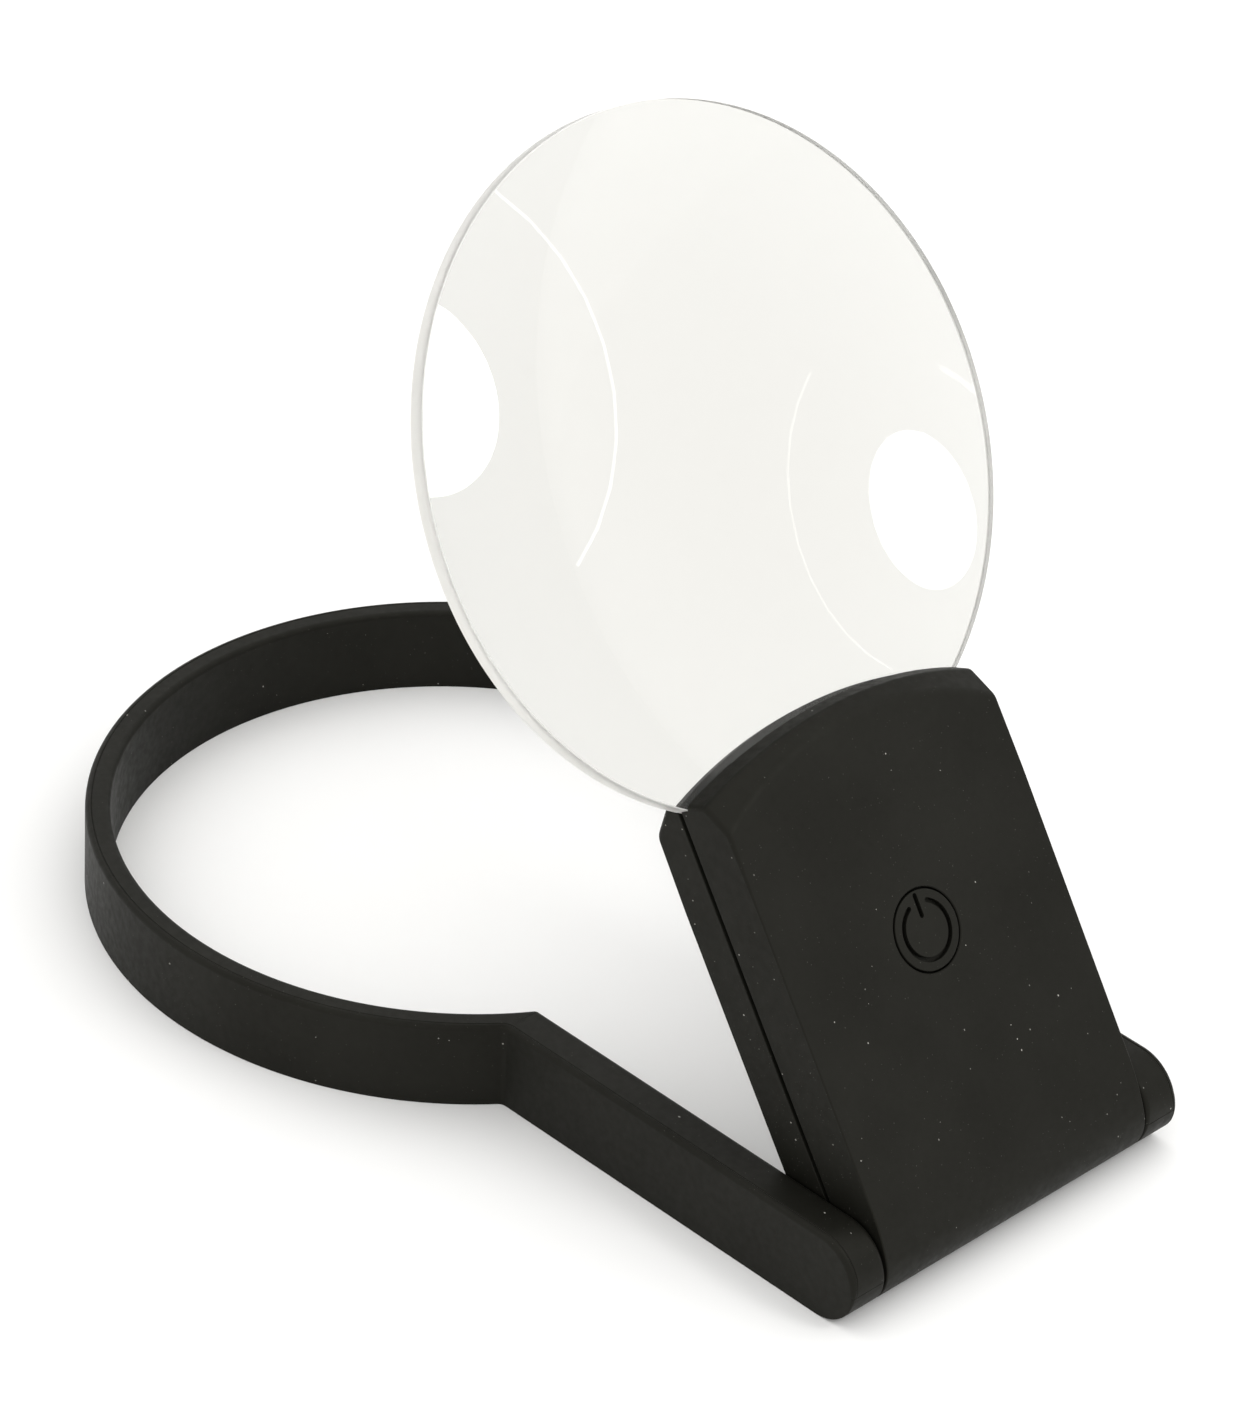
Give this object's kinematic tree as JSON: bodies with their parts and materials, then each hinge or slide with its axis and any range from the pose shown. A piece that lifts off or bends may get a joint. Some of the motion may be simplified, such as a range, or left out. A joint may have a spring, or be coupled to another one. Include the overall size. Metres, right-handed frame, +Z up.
{
  "type": "low vision magnifier",
  "caption": "Stand magnifier: a round rimless lens held in a slim battery head with a push button, hinged between the arms of an open ring stand.",
  "frame": {"origin": "on the table, in the middle of the object's bounding box seen from above", "axes": "+Z up; +Y from the hinge towards the ring of the stand; +X along the hinge axis, so that the object is mirrored left to right"},
  "size_m": [0.1002, 0.1528, 0.1249],
  "materials": {
    "black_plastic": "matte",
    "lens_glass": "polished",
    "window_glass": "satin",
    "acetal": "satin",
    "steel": "satin",
    "spring_steel": "satin",
    "nickel": "satin",
    "circuit_board": "satin",
    "switch_black": "satin",
    "led": "gloss",
    "resistor": "satin",
    "cell": "satin",
    "red_wire": "satin",
    "black_wire": "satin"
  },
  "bodies": {
    "stand": {"stand_loop": "black_plastic", "hinge_bush_left": "acetal", "hinge_bush_right": "acetal", "friction_washer_left": "spring_steel", "friction_washer_right": "spring_steel"},
    "head": {"front_cover": "black_plastic", "back_cover": "black_plastic", "battery_door": "black_plastic", "lens": "lens_glass", "hinge_pin_left": "steel", "hinge_pin_right": "steel", "case_screw_upper_left": "steel", "case_screw_upper_right": "steel", "case_screw_lower_left": "steel", "case_screw_lower_right": "steel", "battery_door_screw": "steel", "circuit_board": "circuit_board", "tact_switch": "switch_black", "resistor": "resistor", "led_board": "circuit_board", "led_left": "led", "led_right": "led", "light_window": "window_glass", "battery_left": "cell", "battery_right": "cell", "link_contact": "nickel", "positive_contact": "nickel", "negative_contact": "nickel", "link_spring": "nickel", "negative_spring": "nickel", "battery_lead_positive": "red_wire", "battery_lead_negative": "black_wire", "led_lead_positive": "red_wire", "led_lead_negative": "black_wire"},
    "power_button": {"button_cap": "black_plastic", "switch_plunger": "switch_black"}
  },
  "joints": [
    {"name": "head_tilt", "type": "hinge", "parent": "stand", "child": "head", "pos_m": [0, -0.07025, 0.0062], "axis": [1, 0, 0], "range_deg": [-56, 124]},
    {"name": "button_press", "type": "slide", "parent": "head", "child": "power_button", "axis": [0, 0.829, -0.5592], "range_m": [0, 0.0005], "stiffness_N_per_m": 2000}
  ]
}
